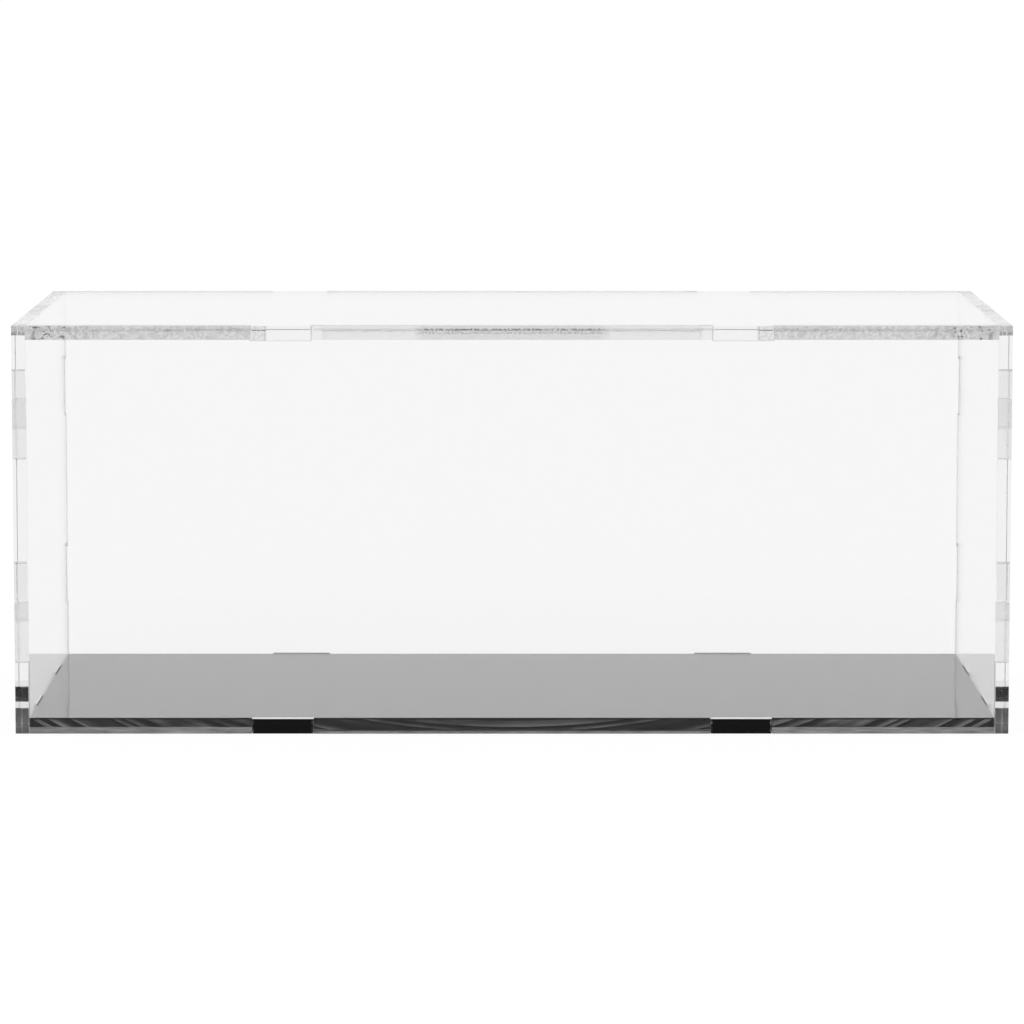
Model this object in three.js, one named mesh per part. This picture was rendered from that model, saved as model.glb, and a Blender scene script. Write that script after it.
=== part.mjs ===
// Clear acrylic display case on a black base: six flat sheets that slot together by tabs and notches,
// with no hinge, screw or glue. Each sheet comes off square to its own face.
// Millimetres. X is the width, Y the depth with the front at -Y, Z is up.
// The origin is the middle of the underside.

import * as THREE from 'three';

// Outside of the assembled case
const WIDTH = 340;
const DEPTH = 160;
const HEIGHT = 140;

// Thickness of the sheets that the pieces are cut from
const WALL_SHEET = 4.6;
const TOP_SHEET = 5;
const BASE_SHEET = 5;

// Tabs come in pairs, one pair to a joint, spaced evenly about the middle of the joint
const TAB_WIDTH = 20.8;
const TAB_CORNER_RADIUS = 0.5;
const LONG_TAB_PITCH = 157;
const SHORT_TAB_PITCH = 73;
const UPRIGHT_TAB_PITCH = 70;

// Play at each side of a tab, at the bottom of its notch and between a sheet's edge and the wall it meets
const CLEARANCE = 0.1;
const CORNER_STEPS = 3;

// The end walls' notches stand clear of the base's tabs, so that the cover drops on freely
const LIFT_CLEARANCE = 0.45;

// A tab passes through the wall sheet and ends flush with its outer face
const TAB_REACH = WALL_SHEET + CLEARANCE;
const NOTCH_WIDTH = TAB_WIDTH + 2 * CLEARANCE;
const INSET_WIDTH = WIDTH - 2 * TAB_REACH;
const INSET_DEPTH = DEPTH - 2 * TAB_REACH;

const clearAcrylic = new THREE.MeshStandardMaterial({
  color: 0xf2f4f4,
  roughness: 0.06,
  metalness: 0,
  transparent: true,
  opacity: 0.25,
});

const blackAcrylic = new THREE.MeshStandardMaterial({
  color: 0x0a0a0a,
  roughness: 0.12,
  metalness: 0,
});

// One pair of tabs on an edge, standing out through the sheet that they lock into.
function tabPair(pitch) {
  return { pitch, width: TAB_WIDTH, reach: TAB_REACH, radius: TAB_CORNER_RADIUS };
}

// One pair of open notches in an edge, deep enough to take tabs cut from a sheet of this thickness.
function notchPair(pitch, matingSheet, play = CLEARANCE) {
  return { pitch, width: NOTCH_WIDTH, reach: -(matingSheet + play), radius: 0 };
}

// Takes the outline up to a corner, rounds it off and leaves it towards the next point.
function turnCorner(outline, from, corner, to, radius) {
  if (radius === 0) {
    outline.lineTo(corner.x, corner.y);
    return;
  }
  const roundStart = corner.clone().add(from.clone().sub(corner).setLength(radius));
  const roundEnd = corner.clone().add(to.clone().sub(corner).setLength(radius));
  outline.lineTo(roundStart.x, roundStart.y);
  outline.quadraticCurveTo(corner.x, corner.y, roundEnd.x, roundEnd.y);
}

// Follows one edge of a sheet from its first corner to its second, anticlockwise round the sheet,
// and steps out for each tab or in for each notch.
function followEdge(outline, first, second, fingers) {
  const along = second.clone().sub(first).normalize();
  const outward = new THREE.Vector2(along.y, -along.x);
  const middle = first.clone().add(second).multiplyScalar(0.5);
  const pointAt = (distance, reach) =>
    middle.clone().addScaledVector(along, distance).addScaledVector(outward, reach);

  for (const centre of [-fingers.pitch / 2, fingers.pitch / 2]) {
    const start = centre - fingers.width / 2;
    const end = centre + fingers.width / 2;
    const foot = pointAt(start, 0);
    const nearCorner = pointAt(start, fingers.reach);
    const farCorner = pointAt(end, fingers.reach);
    const farFoot = pointAt(end, 0);
    outline.lineTo(foot.x, foot.y);
    turnCorner(outline, foot, nearCorner, farCorner, fingers.radius);
    turnCorner(outline, nearCorner, farCorner, farFoot, fingers.radius);
    outline.lineTo(farFoot.x, farFoot.y);
  }
  outline.lineTo(second.x, second.y);
}

// Cuts one sheet, centred on its own middle and lying flat, with fingers on its four edges.
function cutSheet(name, width, height, thickness, edges, material) {
  const corners = [
    new THREE.Vector2(-width / 2, -height / 2),
    new THREE.Vector2(width / 2, -height / 2),
    new THREE.Vector2(width / 2, height / 2),
    new THREE.Vector2(-width / 2, height / 2),
  ];
  const edgeFingers = [edges.bottom, edges.right, edges.top, edges.left];
  const outline = new THREE.Shape();
  outline.moveTo(corners[0].x, corners[0].y);
  edgeFingers.forEach((fingers, index) => {
    followEdge(outline, corners[index], corners[(index + 1) % corners.length], fingers);
  });
  const geometry = new THREE.ExtrudeGeometry(outline, {
    depth: thickness,
    bevelEnabled: false,
    curveSegments: CORNER_STEPS,
  });
  geometry.translate(0, 0, -thickness / 2);
  const sheet = new THREE.Mesh(geometry, material);
  sheet.name = name;
  return sheet;
}

// The base and the top are the same outline: they lie inside the four walls, and their tabs pass
// out through the walls' lower and upper edges.
function levelSheet(name, thickness, centreHeight, material) {
  const edges = {
    bottom: tabPair(LONG_TAB_PITCH),
    right: tabPair(SHORT_TAB_PITCH),
    top: tabPair(LONG_TAB_PITCH),
    left: tabPair(SHORT_TAB_PITCH),
  };
  const sheet = cutSheet(name, INSET_WIDTH, INSET_DEPTH, thickness, edges, material);
  sheet.position.z = centreHeight;
  return sheet;
}

// The front and back stand between the end walls, with tabs at both ends that lock into them.
function longWall(name, facing) {
  const edges = {
    bottom: notchPair(LONG_TAB_PITCH, BASE_SHEET),
    right: tabPair(UPRIGHT_TAB_PITCH),
    top: notchPair(LONG_TAB_PITCH, TOP_SHEET),
    left: tabPair(UPRIGHT_TAB_PITCH),
  };
  const wall = cutSheet(name, INSET_WIDTH, HEIGHT, WALL_SHEET, edges, clearAcrylic);
  wall.rotation.x = Math.PI / 2;
  wall.position.set(0, facing * (DEPTH - WALL_SHEET) / 2, HEIGHT / 2);
  return wall;
}

// The end walls run the whole depth and have open notches all round.
function endWall(name, facing) {
  const edges = {
    bottom: notchPair(SHORT_TAB_PITCH, BASE_SHEET, LIFT_CLEARANCE),
    right: notchPair(UPRIGHT_TAB_PITCH, WALL_SHEET),
    top: notchPair(SHORT_TAB_PITCH, TOP_SHEET),
    left: notchPair(UPRIGHT_TAB_PITCH, WALL_SHEET),
  };
  const wall = cutSheet(name, DEPTH, HEIGHT, WALL_SHEET, edges, clearAcrylic);
  wall.rotation.set(Math.PI / 2, Math.PI / 2, 0);
  wall.position.set(facing * (WIDTH - WALL_SHEET) / 2, 0, HEIGHT / 2);
  return wall;
}

// The clear cover lifts off the base as one, and comes apart into its five sheets
const cover = new THREE.Group();
cover.add(
  longWall('front_panel', -1),
  longWall('back_panel', 1),
  endWall('left_panel', -1),
  endWall('right_panel', 1),
  levelSheet('top_panel', TOP_SHEET, HEIGHT - TOP_SHEET / 2, clearAcrylic),
);

const displayCase = new THREE.Group();
displayCase.add(levelSheet('base_plate', BASE_SHEET, BASE_SHEET / 2, blackAcrylic), cover);

export default displayCase;
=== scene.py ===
"""Clear acrylic display case on a black base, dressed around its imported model, in metres, with +Z up.

The case is six flat sheets that slot together by tabs and notches. The sections below follow the order
in which it is put together: base, long walls, end walls, lid, then the table it stands on and the view.
"""

import math

import bmesh
import bpy
from mathutils import Matrix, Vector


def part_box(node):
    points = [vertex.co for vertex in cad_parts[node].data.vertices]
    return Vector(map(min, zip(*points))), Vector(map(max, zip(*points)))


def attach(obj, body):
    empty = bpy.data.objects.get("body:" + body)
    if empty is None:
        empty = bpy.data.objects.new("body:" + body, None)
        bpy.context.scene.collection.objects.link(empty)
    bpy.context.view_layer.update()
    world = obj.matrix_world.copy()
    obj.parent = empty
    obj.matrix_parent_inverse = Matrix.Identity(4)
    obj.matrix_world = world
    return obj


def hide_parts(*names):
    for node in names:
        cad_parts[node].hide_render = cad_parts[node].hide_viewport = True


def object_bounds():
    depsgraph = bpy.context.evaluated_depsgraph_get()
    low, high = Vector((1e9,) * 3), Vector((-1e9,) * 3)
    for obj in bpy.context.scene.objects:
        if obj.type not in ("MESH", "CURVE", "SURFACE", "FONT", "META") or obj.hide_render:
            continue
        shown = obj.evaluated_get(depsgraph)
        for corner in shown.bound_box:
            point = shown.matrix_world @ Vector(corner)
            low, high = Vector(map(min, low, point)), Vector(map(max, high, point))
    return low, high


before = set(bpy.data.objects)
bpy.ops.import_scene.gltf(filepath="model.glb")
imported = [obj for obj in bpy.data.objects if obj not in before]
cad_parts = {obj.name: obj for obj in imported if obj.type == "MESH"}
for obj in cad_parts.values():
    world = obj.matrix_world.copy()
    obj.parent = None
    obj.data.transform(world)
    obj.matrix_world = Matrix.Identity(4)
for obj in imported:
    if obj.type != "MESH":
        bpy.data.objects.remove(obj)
cad_low, cad_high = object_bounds()


# Base plate
# The floor of the case: one sheet of black acrylic, sawn to size and polished on both faces.
# It lies loose on the table inside the four walls, and its tabs pass out through their lower edges.

MM = 0.001
TAB_WIDTH = 20.8 * MM
TAB_CORNER = 0.5 * MM
TAB_CORNER_STEPS = 4
TAB_PLAY = 0.1 * MM
LONG_TAB_PITCH = 157 * MM
SHORT_TAB_PITCH = 73 * MM

case_size = cad_high - cad_low
base_low, base_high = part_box("base_plate")
base_sheet = base_high.z - base_low.z
wall_low, wall_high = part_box("front_panel")
wall_sheet = wall_high.y - wall_low.y
tab_reach = wall_sheet + TAB_PLAY
inset_width = case_size.x - 2 * tab_reach
inset_depth = case_size.y - 2 * tab_reach


def add_node(tree, kind, inputs=None, **settings):
    """Adds a node to a tree, sets its properties and fills or links the inputs named."""
    node = tree.nodes.new(kind)
    for name, value in settings.items():
        setattr(node, name, value)
    for key, value in (inputs or {}).items():
        if isinstance(value, bpy.types.NodeSocket):
            tree.links.new(value, node.inputs[key])
        else:
            node.inputs[key].default_value = value
    return node


def math_node(tree, operation, first, second=0.0):
    """One sum on one or two values."""
    return add_node(tree, "ShaderNodeMath", {0: first, 1: second}, operation=operation).outputs[0]


WELD_WITHIN = 0.001 * MM
RIM_WITHIN = 0.01 * MM


def slotted_sheet_tree():
    """A flat sheet from its finger points: a rectangle with a tab added or a notch cut at each point."""
    tree = bpy.data.node_groups.new("slotted_sheet", "GeometryNodeTree")
    sockets = [
        ("Fingers", "NodeSocketGeometry"),
        ("Body Length", "NodeSocketFloat"),
        ("Body Height", "NodeSocketFloat"),
        ("Thickness", "NodeSocketFloat"),
        ("Outside Length", "NodeSocketFloat"),
        ("Outside Height", "NodeSocketFloat"),
        ("Tab Width", "NodeSocketFloat"),
        ("Tab Reach", "NodeSocketFloat"),
        ("Tab Corner", "NodeSocketFloat"),
        ("Notch Width", "NodeSocketFloat"),
        ("Face Finish", "NodeSocketMaterial"),
        ("Joint Finish", "NodeSocketMaterial"),
        ("Outer Edge Finish", "NodeSocketMaterial"),
    ]
    for name, kind in sockets:
        tree.interface.new_socket(name=name, in_out="INPUT", socket_type=kind)
    tree.interface.new_socket(name="Sheet", in_out="OUTPUT", socket_type="NodeSocketGeometry")
    given = add_node(tree, "NodeGroupInput").outputs

    def attribute(name, data_type):
        return add_node(
            tree, "GeometryNodeInputNamedAttribute", {"Name": name}, data_type=data_type
        ).outputs["Attribute"]

    facing = add_node(
        tree,
        "FunctionNodeAlignRotationToVector",
        {"Vector": attribute("outward", "FLOAT_VECTOR")},
        axis="Y",
        pivot_axis="Z",
    ).outputs[0]
    is_tab = attribute("is_tab", "BOOLEAN")
    is_notch = add_node(tree, "FunctionNodeBooleanMath", {0: is_tab}, operation="NOT").outputs[0]

    # A tab is a block with rounded corners, half of it sunk in the sheet. Everything is cut from a sheet
    # one unit thick, so that the faces of the tabs lie exactly in those of the sheet.
    tab_outline = add_node(
        tree,
        "GeometryNodeCurvePrimitiveQuadrilateral",
        {"Width": given["Tab Width"], "Height": math_node(tree, "MULTIPLY", given["Tab Reach"], 2.0)},
    ).outputs[0]
    rounded = add_node(
        tree,
        "GeometryNodeFilletCurve",
        {"Curve": tab_outline, "Count": TAB_CORNER_STEPS, "Radius": given["Tab Corner"]},
        mode="POLY",
    ).outputs[0]
    tab_floor = add_node(tree, "GeometryNodeFillCurve", {"Curve": rounded}, mode="NGONS").outputs[0]
    one_up = add_node(tree, "ShaderNodeCombineXYZ", {"Z": 1.0}).outputs[0]
    tab_rise = add_node(
        tree,
        "GeometryNodeExtrudeMesh",
        {"Mesh": tab_floor, "Offset": one_up, "Offset Scale": 1.0, "Individual": False},
    ).outputs[0]
    tab_under = add_node(tree, "GeometryNodeFlipFaces", {"Mesh": tab_floor}).outputs[0]
    tab_shell = add_node(tree, "GeometryNodeJoinGeometry")
    tree.links.new(tab_rise, tab_shell.inputs[0])
    tree.links.new(tab_under, tab_shell.inputs[0])
    tab_closed = add_node(
        tree,
        "GeometryNodeMergeByDistance",
        {"Geometry": tab_shell.outputs[0], "Distance": WELD_WITHIN},
    ).outputs[0]
    tab_block = add_node(
        tree, "GeometryNodeTransform", {"Geometry": tab_closed, "Translation": (0.0, 0.0, -0.5)}
    ).outputs[0]
    tabs = add_node(
        tree,
        "GeometryNodeInstanceOnPoints",
        {"Points": given["Fingers"], "Selection": is_tab, "Instance": tab_block, "Rotation": facing},
    ).outputs[0]
    tab_mesh = add_node(tree, "GeometryNodeRealizeInstances", {"Geometry": tabs}).outputs[0]

    # A notch is cut by a block as deep on each side of the edge as the notch is
    cutter_size = add_node(
        tree, "ShaderNodeCombineXYZ", {"X": given["Notch Width"], "Y": 2.0, "Z": 2.0}
    ).outputs[0]
    cutter = add_node(tree, "GeometryNodeMeshCube", {"Size": cutter_size}).outputs["Mesh"]
    cutter_scale = add_node(
        tree, "ShaderNodeCombineXYZ", {"X": 1.0, "Y": attribute("depth", "FLOAT"), "Z": 1.0}
    ).outputs[0]
    cutters = add_node(
        tree,
        "GeometryNodeInstanceOnPoints",
        {
            "Points": given["Fingers"],
            "Selection": is_notch,
            "Instance": cutter,
            "Rotation": facing,
            "Scale": cutter_scale,
        },
    ).outputs[0]
    cutter_mesh = add_node(tree, "GeometryNodeRealizeInstances", {"Geometry": cutters}).outputs[0]

    body_size = add_node(
        tree,
        "ShaderNodeCombineXYZ",
        {"X": given["Body Length"], "Y": given["Body Height"], "Z": 1.0},
    ).outputs[0]
    body = add_node(tree, "GeometryNodeMeshCube", {"Size": body_size}).outputs["Mesh"]
    with_tabs = add_node(tree, "GeometryNodeMeshBoolean", operation="UNION", solver="EXACT")
    tree.links.new(body, with_tabs.inputs["Mesh 2"])
    tree.links.new(tab_mesh, with_tabs.inputs["Mesh 2"])
    notched = add_node(
        tree,
        "GeometryNodeMeshBoolean",
        {"Mesh 1": with_tabs.outputs[0], "Mesh 2": cutter_mesh},
        operation="DIFFERENCE",
        solver="EXACT",
    ).outputs[0]
    rolling = add_node(
        tree, "ShaderNodeCombineXYZ", {"X": 1.0, "Y": 1.0, "Z": given["Thickness"]}
    ).outputs[0]
    sheet = add_node(tree, "GeometryNodeTransform", {"Geometry": notched, "Scale": rolling}).outputs[0]
    whole = add_node(tree, "GeometryNodeRealizeInstances", {"Geometry": sheet}).outputs[0]

    # The faces, the cut edges inside the joints and the cut edges on the outside have finishes of their own
    normal = add_node(tree, "GeometryNodeInputNormal").outputs[0]
    upright = add_node(tree, "ShaderNodeSeparateXYZ", {0: normal}).outputs["Z"]
    is_edge = add_node(
        tree,
        "FunctionNodeCompare",
        {"A": math_node(tree, "ABSOLUTE", upright), "B": 0.5},
        operation="LESS_THAN",
    ).outputs[0]
    position = add_node(tree, "GeometryNodeInputPosition").outputs[0]
    place = add_node(tree, "ShaderNodeSeparateXYZ", {0: position}).outputs
    reaches = []
    for axis, size in (("X", "Outside Length"), ("Y", "Outside Height")):
        half_size = math_node(tree, "MULTIPLY", given[size], 0.5)
        rim = math_node(tree, "SUBTRACT", half_size, RIM_WITHIN)
        away = math_node(tree, "ABSOLUTE", place[axis])
        reach = add_node(tree, "FunctionNodeCompare", {"A": away, "B": rim}, operation="GREATER_THAN")
        reaches.append(reach.outputs[0])
    on_rim = add_node(
        tree, "FunctionNodeBooleanMath", {0: reaches[0], 1: reaches[1]}, operation="OR"
    ).outputs[0]
    is_outer = add_node(
        tree, "FunctionNodeBooleanMath", {0: is_edge, 1: on_rim}, operation="AND"
    ).outputs[0]
    finished = add_node(
        tree, "GeometryNodeSetMaterial", {"Geometry": whole, "Material": given["Face Finish"]}
    ).outputs[0]
    for chosen, finish in ((is_edge, "Joint Finish"), (is_outer, "Outer Edge Finish")):
        finished = add_node(
            tree,
            "GeometryNodeSetMaterial",
            {"Geometry": finished, "Selection": chosen, "Material": given[finish]},
        ).outputs[0]
    add_node(tree, "NodeGroupOutput", {"Sheet": finished})
    return tree


sheet_tree = slotted_sheet_tree()


def finger_pair(edge, pitch, edge_distance, depth=None):
    """Two fingers on one edge: tabs, or notches where a depth is given."""
    outward = {"right": (1, 0), "left": (-1, 0), "top": (0, 1), "bottom": (0, -1)}[edge]
    along = (abs(outward[1]), abs(outward[0]))
    return [
        {
            "place": (
                outward[0] * edge_distance + along[0] * side * pitch / 2,
                outward[1] * edge_distance + along[1] * side * pitch / 2,
                0.0,
            ),
            "outward": (*outward, 0.0),
            "is_tab": depth is None,
            "depth": depth or 0.0,
        }
        for side in (-1, 1)
    ]


FINE_ARRIS = 0.02 * MM
ARRIS_STEPS = 2
REAR_FROM = 60 * MM
SHARP_FROM = math.radians(40)
FLAT_WITHIN = math.radians(1)


def arris_width(edge, rear_arris, joint_arris):
    """What the scraper takes off a sharp edge: at the rear, inside a rear joint, or elsewhere."""
    first, second = (corner.co for corner in edge.verts)
    middle = (first + second) / 2
    if middle.y > inset_depth / 2 + 1 * MM:
        return rear_arris
    if middle.y > REAR_FROM and abs(second.y - first.y) < 1 * MM:
        return joint_arris
    return FINE_ARRIS


def cut_sheet(
    name,
    body_size,
    outside_size,
    thickness,
    fingers,
    placing,
    finishes,
    rear_arris=FINE_ARRIS,
    joint_arris=FINE_ARRIS,
):
    """Cuts one sheet from its finger points, puts it in its place and scrapes its sharp arrises."""
    points = bpy.data.meshes.new(name + "_fingers")
    points.from_pydata([finger["place"] for finger in fingers], [], [])
    columns = {
        "outward": ("FLOAT_VECTOR", "vector"),
        "is_tab": ("BOOLEAN", "value"),
        "depth": ("FLOAT", "value"),
    }
    for column, (kind, field) in columns.items():
        attribute = points.attributes.new(column, kind, "POINT")
        for item, finger in zip(attribute.data, fingers):
            setattr(item, field, finger[column])
    sheet = bpy.data.objects.new(name, points)
    bpy.context.scene.collection.objects.link(sheet)

    cutting = sheet.modifiers.new("cutting", "NODES")
    cutting.node_group = sheet_tree
    given = {
        "Body Length": body_size[0],
        "Body Height": body_size[1],
        "Thickness": thickness,
        "Outside Length": outside_size[0],
        "Outside Height": outside_size[1],
        "Tab Width": TAB_WIDTH,
        "Tab Reach": tab_reach,
        "Tab Corner": TAB_CORNER,
        "Notch Width": TAB_WIDTH + 2 * TAB_PLAY,
        "Face Finish": finishes["face"],
        "Joint Finish": finishes["joint"],
        "Outer Edge Finish": finishes["outer"],
    }
    for socket in sheet_tree.interface.items_tree:
        if socket.in_out == "INPUT" and socket.name in given:
            cutting[socket.identifier] = given[socket.name]
    evaluated = sheet.evaluated_get(bpy.context.evaluated_depsgraph_get())
    cut = bpy.data.meshes.new_from_object(evaluated)
    cut.name = name
    for column in columns:
        cut.attributes.remove(cut.attributes[column])
    cut.materials.pop(index=0)
    cut.materials.append(finishes["arris"])
    cut.transform(placing)
    cut.shade_flat()
    sheet.modifiers.remove(cutting)
    sheet.data = cut
    bpy.data.meshes.remove(points)

    # Each face of the sheet is made one flat polygon again, without the seams left by its tabs
    cleaner = bmesh.new()
    cleaner.from_mesh(cut)
    bmesh.ops.dissolve_limit(
        cleaner,
        angle_limit=FLAT_WITHIN,
        verts=cleaner.verts,
        edges=cleaner.edges,
        delimit={"MATERIAL"},
    )

    # Every sharp outward corner is scraped, by its own share of the widest arris
    widest = max(FINE_ARRIS, rear_arris, joint_arris)
    weights = cleaner.edges.layers.float.new("bevel_weight_edge")
    for edge in cleaner.edges:
        if edge.is_convex and edge.calc_face_angle() > SHARP_FROM:
            edge[weights] = arris_width(edge, rear_arris, joint_arris) / widest
    cleaner.to_mesh(cut)
    cleaner.free()

    scraping = sheet.modifiers.new("scraping", "BEVEL")
    scraping.width = widest
    scraping.segments = ARRIS_STEPS
    scraping.limit_method = "WEIGHT"
    scraping.use_clamp_overlap = False
    scraping.material = len(cut.materials) - 1
    return sheet


def grey(level):
    """A neutral colour."""
    return (level, level, level, 1)


def new_material(name, constants):
    """A node material whose shader has these values all over."""
    material = bpy.data.materials.new(name)
    material.use_nodes = True
    tree = material.node_tree
    shader = tree.nodes["Principled BSDF"]
    for socket, value in constants.items():
        shader.inputs[socket].default_value = value
    return material, tree, shader


def object_place(tree):
    """Where a point lies on the case, in metres."""
    return add_node(tree, "ShaderNodeTexCoord").outputs["Object"]


def place_apart(tree):
    """Where a point lies on the case, as separate X, Y and Z."""
    return add_node(tree, "ShaderNodeSeparateXYZ", {0: object_place(tree)}).outputs


def stretched_noise(tree, grains, detail=2.0):
    """Noise with its own number of grains to the metre along each axis."""
    place = add_node(
        tree, "ShaderNodeVectorMath", {0: object_place(tree), 1: grains}, operation="MULTIPLY"
    ).outputs[0]
    return add_node(
        tree, "ShaderNodeTexNoise", {"Vector": place, "Scale": 1.0, "Detail": detail}
    ).outputs["Fac"]


def even_noise(tree, grains, detail=2.0):
    """Noise with the same number of grains to the metre along every axis."""
    return stretched_noise(tree, (grains, grains, grains), detail)


MOST_NOISE = (0.3, 0.7)
MIDDLE_NOISE = (0.35, 0.65)


def map_range(tree, value, given, wanted):
    """Carries a value from one range to another, and stops at the ends of the second."""
    return add_node(
        tree,
        "ShaderNodeMapRange",
        {
            "Value": value,
            "From Min": given[0],
            "From Max": given[1],
            "To Min": wanted[0],
            "To Max": wanted[1],
        },
    ).outputs["Result"]


def rising(tree, value, zone):
    """A share that is none before a zone and whole after it."""
    return map_range(tree, value, zone, (0.0, 1.0))


def falling(tree, value, zone):
    """A share that is whole before a zone and none after it."""
    return map_range(tree, value, zone, (1.0, 0.0))


def part_way(tree, share, ends):
    """The first of two values where a share is none, and the second where it is whole."""
    return map_range(tree, share, (0.0, 1.0), ends)


def multiply(tree, first, second):
    """The product of two values."""
    return math_node(tree, "MULTIPLY", first, second)


def mix_values(tree, share, first, second):
    """A pattern that gives way to a second one with a share."""
    return add_node(
        tree, "ShaderNodeMix", {"Factor": share, "A": first, "B": second}, data_type="FLOAT"
    ).outputs[0]


def add_waves(tree, shader, height, strength, distance):
    """Gives a shader the relief of a height field."""
    bump = add_node(tree, "ShaderNodeBump", {"Height": height, "Strength": strength, "Distance": distance})
    tree.links.new(bump.outputs["Normal"], shader.inputs["Normal"])


BLACK_FACE = 0.042
BLACK_GLOSS_IOR = 1.57
HANDLING_HAZE = (0.07, 0.1)
HAZE_NOISE = (0.4, 0.75)
WAVE_HEIGHT = 0.1 * MM


def black_polished():
    """The faces of the black sheet: a deep gloss with a faint wave and a little handling haze."""
    material, tree, shader = new_material(
        "black_acrylic_polished", {"Base Color": grey(BLACK_FACE), "IOR": BLACK_GLOSS_IOR}
    )
    haze = map_range(tree, even_noise(tree, grains=35, detail=6), HAZE_NOISE, HANDLING_HAZE)
    tree.links.new(haze, shader.inputs["Roughness"])
    add_waves(tree, shader, even_noise(tree, grains=25), strength=0.05, distance=WAVE_HEIGHT)
    return material


ACRYLIC_IOR = 1.49

# Zones are measured out from the middle of the case or up from the table, and the strip's edge from its
# top. Shades and shares come in pairs, for the two ends of a zone or the lows and highs of a noise.
SAWN_BLACK = 0.003
SAW_MARK_HEIGHT = 0.05 * MM
BLADE_CENTRE = (0.0, 0.0, 295.8 * MM)
STROKES_PER_METRE = 230.0
STROKE_DRIFT = 3.0
STROKE_SHARPNESS = 2.5
TAB_ZONE = (60 * MM, 85 * MM)
ARC_SHADES = (0.05, 0.36)
ARC_SHARES = (0.75, 1.0)
# Painted shade: a dark line just under the upper arris of the black edge
ARRIS_SHADE_ZONE = (base_sheet - 0.8 * MM, base_sheet - 0.4 * MM)
ARRIS_SHADE_SHARES = (1.0, 0.08)
RUB_SHADES = (0.25, 0.55)
STRIP_TOPS = (0.8 * MM, 1.75 * MM)
STRIP_EDGE = (-0.1 * MM, 0.1 * MM)
STRIP_RUBBING = (0.22, 1.08)
FOOT_LINE = (0.2 * MM, 0.35 * MM)
FOOT_RUBBING = (1.3, 0.0)
TAB_ROOT = (inset_depth / 2 + 0.05 * MM, inset_depth / 2 + 0.1 * MM)


def black_sawn():
    """The cut edges of the black sheet: blade marks in long arcs, and a strip rubbed pale at the foot."""
    material, tree, shader = new_material(
        "black_acrylic_sawn", {"IOR": ACRYLIC_IOR, "Specular IOR Level": 0.1, "Roughness": 0.35}
    )
    apart = place_apart(tree)
    along = math_node(tree, "ABSOLUTE", apart["X"])
    across = math_node(tree, "ABSOLUTE", apart["Y"])
    outside_tabs = rising(tree, along, TAB_ZONE)

    # The arcs lie about a point high above the middle of the case, each one paling towards its lower side.
    # They fade out into painted shade, a dark line just under the upper arris.
    blade_radius = add_node(
        tree, "ShaderNodeVectorMath", {0: object_place(tree), 1: BLADE_CENTRE}, operation="DISTANCE"
    ).outputs["Value"]
    strokes = multiply(tree, blade_radius, STROKES_PER_METRE)
    unevenness = add_node(
        tree,
        "ShaderNodeTexNoise",
        {"W": strokes, "Scale": 0.7, "Detail": 3.0},
        noise_dimensions="1D",
    ).outputs["Fac"]
    uneven_strokes = math_node(tree, "ADD", strokes, multiply(tree, unevenness, STROKE_DRIFT))
    stroke = math_node(tree, "POWER", math_node(tree, "FRACT", uneven_strokes), STROKE_SHARPNESS)
    fading = map_range(tree, stretched_noise(tree, grains=(40, 40, 160)), MIDDLE_NOISE, ARC_SHADES)
    depth = multiply(tree, fading, part_way(tree, outside_tabs, ARC_SHARES))
    depth = multiply(tree, depth, map_range(tree, apart["Z"], ARRIS_SHADE_ZONE, ARRIS_SHADE_SHARES))
    arcs = math_node(tree, "ADD", multiply(tree, stroke, depth), SAWN_BLACK)

    # The rubbed strip is wider and paler outside the tabs than between them, where only its foot is pale.
    # The tabs have none.
    strip_top = part_way(tree, outside_tabs, STRIP_TOPS)
    on_strip = falling(tree, math_node(tree, "SUBTRACT", apart["Z"], strip_top), STRIP_EDGE)
    off_tabs = falling(tree, across, TAB_ROOT)
    rub_noise = stretched_noise(tree, grains=(150, 150, 2500), detail=3)
    rubs = map_range(tree, rub_noise, MOST_NOISE, RUB_SHADES)
    strip_rubbing = part_way(tree, outside_tabs, STRIP_RUBBING)
    foot_rubbing = map_range(tree, apart["Z"], FOOT_LINE, FOOT_RUBBING)
    rubbing = multiply(tree, rubs, math_node(tree, "MAXIMUM", strip_rubbing, foot_rubbing))
    shade = mix_values(tree, multiply(tree, on_strip, off_tabs), arcs, rubbing)
    tree.links.new(shade, shader.inputs["Base Color"])
    add_waves(tree, shader, unevenness, strength=0.2, distance=SAW_MARK_HEIGHT)
    return material


BLACK_TAB_END = 0.005
TAB_END_HAZE = (0.15, 0.3)


def black_tab_end():
    """The ends of the black tabs, flame-polished and dead black."""
    material, tree, shader = new_material(
        "black_acrylic_tab_end",
        {"Base Color": grey(BLACK_TAB_END), "IOR": ACRYLIC_IOR, "Specular IOR Level": 0.06},
    )
    haze = map_range(tree, even_noise(tree, grains=600, detail=3), MOST_NOISE, TAB_END_HAZE)
    tree.links.new(haze, shader.inputs["Roughness"])
    return material


BLACK_SCRAPE = (0.015, 0.05)


def black_arris():
    """The broken arrises of the black sheet, scraped to a grey near that of its faces."""
    material, tree, shader = new_material("black_acrylic_arris", {"IOR": ACRYLIC_IOR, "Roughness": 0.3})
    scrape = map_range(tree, even_noise(tree, grains=500, detail=3), MOST_NOISE, BLACK_SCRAPE)
    tree.links.new(scrape, shader.inputs["Base Color"])
    return material


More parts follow.
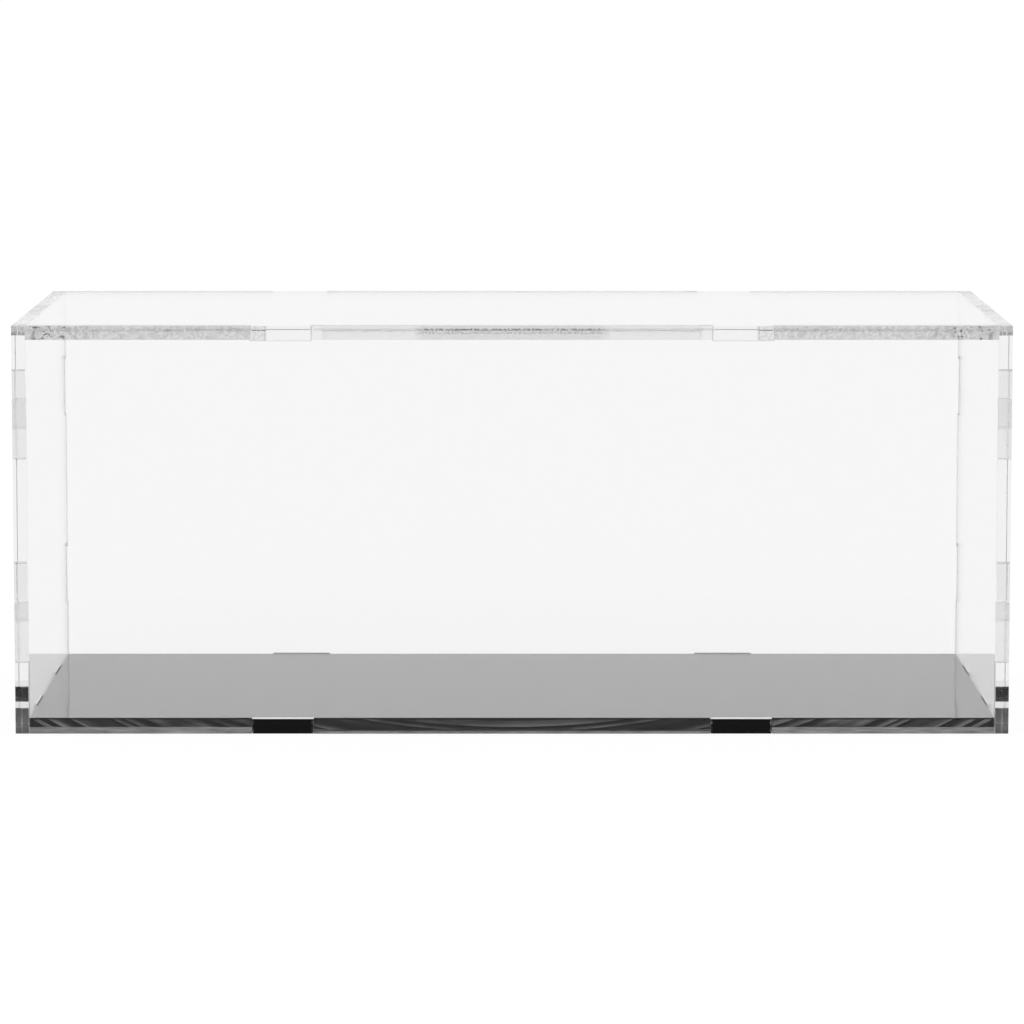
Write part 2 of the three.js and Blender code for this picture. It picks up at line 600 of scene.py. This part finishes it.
level_fingers = [
    *finger_pair("bottom", LONG_TAB_PITCH, inset_depth / 2),
    *finger_pair("top", LONG_TAB_PITCH, inset_depth / 2),
    *finger_pair("left", SHORT_TAB_PITCH, inset_width / 2),
    *finger_pair("right", SHORT_TAB_PITCH, inset_width / 2),
]
base = cut_sheet(
    "black_base",
    (inset_width, inset_depth),
    (case_size.x, case_size.y),
    base_sheet,
    level_fingers,
    Matrix.Translation((base_low + base_high) / 2),
    {"face": black_polished(), "joint": black_sawn(), "outer": black_tab_end(), "arris": black_arris()},
)
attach(base, "base")
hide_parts("base_plate")


# Front and back walls
# Two sheets of clear acrylic that stand between the end walls, notched over the base and under the lid.
# Tabs at both ends of each lock into open notches in the end walls, so nothing is glued or screwed.

UPRIGHT_TAB_PITCH = 70 * MM
INNER_ARRIS = 0.12 * MM
STAND_LENGTHWAYS = Matrix.Rotation(math.radians(90), 4, "X")

lid_low, lid_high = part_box("top_panel")
lid_sheet = lid_high.z - lid_low.z

WALL_TINT = 0.955
WEAK_MIRROR = 0.3
HAIRLINE_RUBS = (0.0, 0.06)
HAIRLINE_NOISE = (0.68, 0.8)


def clear_polished(name, tint):
    """The faces of a clear sheet: the plastic's tint, the faint wave of cast sheet and hairline rubs."""
    material, tree, shader = new_material(
        name,
        {
            "Base Color": grey(tint),
            "IOR": ACRYLIC_IOR,
            "Specular Tint": grey(WEAK_MIRROR),
            "Transmission Weight": 1.0,
        },
    )
    hairlines = stretched_noise(tree, grains=(900, 900, 60), detail=4)
    rubs = map_range(tree, hairlines, HAIRLINE_NOISE, HAIRLINE_RUBS)
    tree.links.new(rubs, shader.inputs["Roughness"])
    add_waves(tree, shader, even_noise(tree, grains=14), strength=0.04, distance=WAVE_HEIGHT)
    return material


def the_rest(tree, share):
    """What a share leaves of the whole."""
    return math_node(tree, "SUBTRACT", 1.0, share)


# Zones are measured out from the middle of the case, from there to its rear or up from the table, and
# the edge of a row of dots from the row's own height
LONG_EDGE_END = (164 * MM, 164.5 * MM)
FRONT_END = (-40 * MM, 20 * MM)
FOOT_END = (6 * MM, 8 * MM)
SAWN_HAZE = (0.81, 0.885)
SAWN_ROUGHNESS = (0.02, 0.12)
SAWN_NOISE = (0.35, 0.7)
SPECKLES_START = (72 * MM, 84 * MM)
SPECKLE_SHADES = (0.53, 0.87)
CHIPS_START = (147 * MM, 152 * MM)
CHIP_SHADES = (0.0, 0.92)
CHIP_NOISE = (0.58, 0.63)
DOTS_END = (30 * MM, 34 * MM)
DOT_NOISE = (0.44, 0.54)
DOTLESS_SHADE = 0.68
UPPER_ROW_HEIGHT = lid_high.z - 1.5 * MM
UPPER_ROW_EDGE = (0.2 * MM, 0.45 * MM)
UPPER_ROW_SHADES = (0.6, 0.0)
LOWER_ROW_HEIGHT = lid_high.z - 2.7 * MM
LOWER_ROW_EDGE = (0.2 * MM, 0.5 * MM)
LOWER_ROW_SHADES = (0.42, 0.0)
# Painted shade darkens the notches at the foot, most of all in the back wall
END_NOTCH_SHADE = (1.0, 0.65)
REAR_NOTCH_SHADE = (1.0, 0.1)
REAR_SHADE_SHARES = (0.4, 1.0)
SCUFFED_CLEARNESS = (0.96, 0.63)
# Painted shade also lowers the clearness of the back wall's notches
SHADED_CLEARNESS = (0.96, 0.35)


def clear_sawn():
    """The cut edges inside the joints: hazed by the saw, most of all where it bit into the long edges."""
    material, tree, shader = new_material("clear_acrylic_sawn", {"IOR": ACRYLIC_IOR})
    apart = place_apart(tree)
    along = math_node(tree, "ABSOLUTE", apart["X"])
    on_long_edge = falling(tree, along, LONG_EDGE_END)
    on_end_wall = the_rest(tree, on_long_edge)
    at_front = falling(tree, apart["Y"], FRONT_END)
    at_rear = the_rest(tree, at_front)
    at_foot = falling(tree, apart["Z"], FOOT_END)

    # Speckles outside the tabs of a long edge, with chips near its ends, and a plain haze elsewhere
    speckles = stretched_noise(tree, grains=(1000, 1000, 1200), detail=5)
    speckled = map_range(tree, speckles, MIDDLE_NOISE, SPECKLE_SHADES)
    chipping = map_range(tree, even_noise(tree, grains=900), CHIP_NOISE, CHIP_SHADES)
    near_ends = rising(tree, along, CHIPS_START)
    speckled = multiply(tree, speckled, the_rest(tree, multiply(tree, chipping, near_ends)))
    outside_tabs = rising(tree, along, SPECKLES_START)
    haze = part_way(tree, on_long_edge, SAWN_HAZE)
    shade = mix_values(tree, multiply(tree, outside_tabs, on_long_edge), haze, speckled)

    # Two rows of dots in the middle of the lid's front edge, the upper one stronger
    dots = rising(tree, stretched_noise(tree, grains=(1700, 1700, 1100), detail=1), DOT_NOISE)
    from_upper = math_node(tree, "ABSOLUTE", math_node(tree, "SUBTRACT", apart["Z"], UPPER_ROW_HEIGHT))
    from_lower = math_node(tree, "ABSOLUTE", math_node(tree, "SUBTRACT", apart["Z"], LOWER_ROW_HEIGHT))
    upper_row = map_range(tree, from_upper, UPPER_ROW_EDGE, UPPER_ROW_SHADES)
    lower_row = map_range(tree, from_lower, LOWER_ROW_EDGE, LOWER_ROW_SHADES)
    dotting = multiply(tree, math_node(tree, "ADD", upper_row, lower_row), dots)
    dotted = math_node(tree, "SUBTRACT", DOTLESS_SHADE, dotting)
    in_middle = multiply(tree, at_front, falling(tree, along, DOTS_END))
    shade = mix_values(tree, in_middle, shade, dotted)

    # Painted shade darkens the notches over the base's tabs, in the end walls and most of all in the back
    # wall
    end_notch_shade = part_way(tree, multiply(tree, at_foot, on_end_wall), END_NOTCH_SHADE)
    rear_shade_share = multiply(tree, at_rear, part_way(tree, on_long_edge, REAR_SHADE_SHARES))
    at_rear_foot = multiply(tree, at_foot, rear_shade_share)
    notch_shade = multiply(tree, end_notch_shade, part_way(tree, at_rear_foot, REAR_NOTCH_SHADE))
    tree.links.new(multiply(tree, shade, notch_shade), shader.inputs["Base Color"])

    # The front notches at the foot are scuffed by the base's tabs each time the cover goes on
    scuffed = part_way(tree, multiply(tree, at_foot, at_front), SCUFFED_CLEARNESS)
    # Painted shade makes the back wall's notches less clear
    shade_clearness = part_way(tree, at_rear_foot, SHADED_CLEARNESS)
    clearness = math_node(tree, "MINIMUM", scuffed, shade_clearness)
    tree.links.new(clearness, shader.inputs["Transmission Weight"])
    roughness = map_range(tree, speckles, SAWN_NOISE, SAWN_ROUGHNESS)
    tree.links.new(roughness, shader.inputs["Roughness"])
    add_waves(tree, shader, speckles, strength=0.15, distance=WAVE_HEIGHT)
    return material


OUTER_EDGE_TINT = 0.87
WHEEL_LINES = (0.0, 0.05)
WHEEL_NOISE = (0.55, 0.8)


def clear_outer_edge():
    """The cut edges on the outside, polished nearly clear, with the last lines of the polishing wheel."""
    material, tree, shader = new_material(
        "clear_acrylic_outer_edge",
        {
            "Base Color": grey(OUTER_EDGE_TINT),
            "IOR": ACRYLIC_IOR,
            "Specular Tint": grey(WEAK_MIRROR),
            "Transmission Weight": 1.0,
        },
    )
    lines = even_noise(tree, grains=120, detail=3)
    tree.links.new(map_range(tree, lines, WHEEL_NOISE, WHEEL_LINES), shader.inputs["Roughness"])
    add_waves(tree, shader, lines, strength=0.05, distance=WAVE_HEIGHT)
    return material


FROST_SHADES = (0.35, 0.6)
# Painted light: the frost is paler at the front and darker towards the rear
FROST_LIGHT_ZONE = (-20 * MM, REAR_FROM)
FRONT_PAINTED_LIGHT = (0.4, 0.0)


def clear_arris():
    """The broken arrises of a clear sheet, scraped to a fine frost, with painted light that makes them
    paler at the front than towards the rear.
    """
    material, tree, shader = new_material(
        "clear_acrylic_arris", {"IOR": ACRYLIC_IOR, "Transmission Weight": 1.0, "Roughness": 0.3}
    )
    # Painted light brightens the frost at the front and leaves it darker towards the rear
    painted_light = map_range(tree, place_apart(tree)["Y"], FROST_LIGHT_ZONE, FRONT_PAINTED_LIGHT)
    scrape = map_range(tree, even_noise(tree, grains=300, detail=3), MOST_NOISE, FROST_SHADES)
    tree.links.new(math_node(tree, "ADD", scrape, painted_light), shader.inputs["Base Color"])
    return material


clear_finishes = {
    "face": clear_polished("clear_acrylic_polished", WALL_TINT),
    "joint": clear_sawn(),
    "outer": clear_outer_edge(),
    "arris": clear_arris(),
}
long_wall_fingers = [
    *finger_pair("bottom", LONG_TAB_PITCH, case_size.z / 2, depth=base_sheet + TAB_PLAY),
    *finger_pair("top", LONG_TAB_PITCH, case_size.z / 2, depth=lid_sheet + TAB_PLAY),
    *finger_pair("left", UPRIGHT_TAB_PITCH, inset_width / 2),
    *finger_pair("right", UPRIGHT_TAB_PITCH, inset_width / 2),
]
for node, body in (("front_panel", "front"), ("back_panel", "back")):
    low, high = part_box(node)
    wall = cut_sheet(
        "clear_" + body,
        (inset_width, case_size.z),
        (case_size.x, case_size.z),
        wall_sheet,
        long_wall_fingers,
        Matrix.Translation((low + high) / 2) @ STAND_LENGTHWAYS,
        clear_finishes,
        joint_arris=INNER_ARRIS,
    )
    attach(wall, body)
    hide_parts(node)


# End walls
# Two sheets of clear acrylic that run the whole depth of the case, with open notches in all four edges.
# The base, the lid and the long walls all lock into them, and their outer edges are left on show.

HEAVY_ARRIS = 0.2 * MM
LIFT_PLAY = 0.45 * MM
STAND_ENDWAYS = Matrix.Rotation(math.radians(90), 4, "Z") @ STAND_LENGTHWAYS

STRAIGHT_IN_TINT = 0.98
GLANCING_CUTS = (0.95, 0.0)


def clear_soft_gloss(tint):
    """The faces of an end wall, which mirror the base less at a glancing angle than bare polish would."""
    material = clear_polished("clear_acrylic_end", tint)
    tree = material.node_tree
    polish = tree.nodes["Principled BSDF"]
    waves = polish.inputs["Normal"].links[0].from_socket
    straight_in = add_node(
        tree,
        "ShaderNodeBsdfRefraction",
        {"Color": grey(STRAIGHT_IN_TINT), "Roughness": 0.0, "IOR": ACRYLIC_IOR, "Normal": waves},
    )
    glancing = add_node(tree, "ShaderNodeFresnel", {"IOR": ACRYLIC_IOR, "Normal": waves}).outputs[0]
    inside = add_node(tree, "ShaderNodeNewGeometry").outputs["Backfacing"]
    cut = multiply(tree, glancing, part_way(tree, inside, GLANCING_CUTS))
    soft_gloss = add_node(
        tree, "ShaderNodeMixShader", {0: cut, 1: polish.outputs[0], 2: straight_in.outputs[0]}
    )
    tree.links.new(soft_gloss.outputs[0], tree.nodes["Material Output"].inputs["Surface"])
    return material


end_finishes = dict(clear_finishes, face=clear_soft_gloss(WALL_TINT))
end_wall_fingers = [
    *finger_pair("bottom", SHORT_TAB_PITCH, case_size.z / 2, depth=base_sheet + LIFT_PLAY),
    *finger_pair("top", SHORT_TAB_PITCH, case_size.z / 2, depth=lid_sheet + TAB_PLAY),
    *finger_pair("left", UPRIGHT_TAB_PITCH, case_size.y / 2, depth=tab_reach),
    *finger_pair("right", UPRIGHT_TAB_PITCH, case_size.y / 2, depth=tab_reach),
]
for node, body in (("left_panel", "left"), ("right_panel", "right")):
    low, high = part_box(node)
    wall = cut_sheet(
        "clear_" + body,
        (case_size.y, case_size.z),
        (case_size.y, case_size.z),
        wall_sheet,
        end_wall_fingers,
        Matrix.Translation((low + high) / 2) @ STAND_ENDWAYS,
        end_finishes,
        rear_arris=HEAVY_ARRIS,
        joint_arris=HEAVY_ARRIS,
    )
    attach(wall, body)
    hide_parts(node)


# Lid
# A sheet of clear acrylic cut to the same outline as the base. It drops in between the walls from above,
# and its tabs lie in the notches of their upper edges, flush with the outside.

DEEP_ARRIS = 0.35 * MM
# The lid's faces take a darker tint than the walls', painted shade on the top of the case
LID_SHADED_TINT = 0.82

lid_finishes = dict(clear_finishes, face=clear_polished("clear_acrylic_lid", LID_SHADED_TINT))
lid = cut_sheet(
    "clear_lid",
    (inset_width, inset_depth),
    (case_size.x, case_size.y),
    lid_sheet,
    level_fingers,
    Matrix.Translation((lid_low + lid_high) / 2),
    lid_finishes,
    rear_arris=HEAVY_ARRIS,
    joint_arris=DEEP_ARRIS,
)
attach(lid, "top")
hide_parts("top_panel")


# Table and light
# A white table under a white studio sky. The table shows as white as the sky wherever it is seen,
# straight or through the sheets, and keeps a faint shadow of the case.

TABLE_HALF = 30.0
TABLE_DROP = 0.2 * MM
TABLE_WHITE = 0.95
TABLE_GLOW = 1.02
GLOW_SHARE = 0.92
LIGHT_BOUNCES = 40

table_mesh = bpy.data.meshes.new("table")
table_mesh.from_pydata(
    [
        (-TABLE_HALF, -TABLE_HALF, -TABLE_DROP),
        (TABLE_HALF, -TABLE_HALF, -TABLE_DROP),
        (TABLE_HALF, TABLE_HALF, -TABLE_DROP),
        (-TABLE_HALF, TABLE_HALF, -TABLE_DROP),
    ],
    [],
    [(0, 1, 2, 3)],
)
table = bpy.data.objects.new("table", table_mesh)
bpy.context.scene.collection.objects.link(table)

table_material, table_tree, table_shader = new_material(
    "white_table", {"Base Color": grey(TABLE_WHITE), "Roughness": 1.0, "Specular IOR Level": 0.0}
)
glow = add_node(table_tree, "ShaderNodeEmission", {"Color": grey(1), "Strength": TABLE_GLOW})
ray = add_node(table_tree, "ShaderNodeLightPath").outputs
seen = math_node(table_tree, "MAXIMUM", ray["Is Camera Ray"], ray["Is Glossy Ray"])
seen = math_node(table_tree, "MAXIMUM", seen, ray["Is Transmission Ray"])
table_look = add_node(
    table_tree,
    "ShaderNodeMixShader",
    {0: multiply(table_tree, seen, GLOW_SHARE), 1: table_shader.outputs[0], 2: glow.outputs[0]},
)
table_tree.links.new(table_look.outputs[0], table_tree.nodes["Material Output"].inputs["Surface"])
table_mesh.materials.append(table_material)

world = bpy.data.worlds.new("white_studio")
world.use_nodes = True
sky = world.node_tree.nodes["Background"]
sky.inputs["Color"].default_value = grey(1)
sky.inputs["Strength"].default_value = 1.0

scene = bpy.context.scene
scene.world = world
scene.view_settings.view_transform = "Standard"
scene.cycles.max_bounces = LIGHT_BOUNCES
scene.cycles.transmission_bounces = LIGHT_BOUNCES
scene.cycles.glossy_bounces = LIGHT_BOUNCES


# View
# The photograph looks straight at the front from a little above, through a long lens.
# Lens and sensor are in millimetres, the camera's place is in metres and it is tilted down in degrees.

LENS_LENGTH = 176.8
SENSOR_WIDTH = 36.0
SIGHT_RANGE = 100.0
CAMERA_PLACE = (0.0, -1.7815, 0.2785)
CAMERA_TILT = 6.772

camera_data = bpy.data.cameras.new("camera")
camera_data.lens = LENS_LENGTH
camera_data.sensor_width = SENSOR_WIDTH
camera_data.clip_end = SIGHT_RANGE
camera = bpy.data.objects.new("camera", camera_data)
scene.collection.objects.link(camera)
camera.location = CAMERA_PLACE
camera.rotation_euler = (math.radians(90 - CAMERA_TILT), 0.0, 0.0)
scene.camera = camera
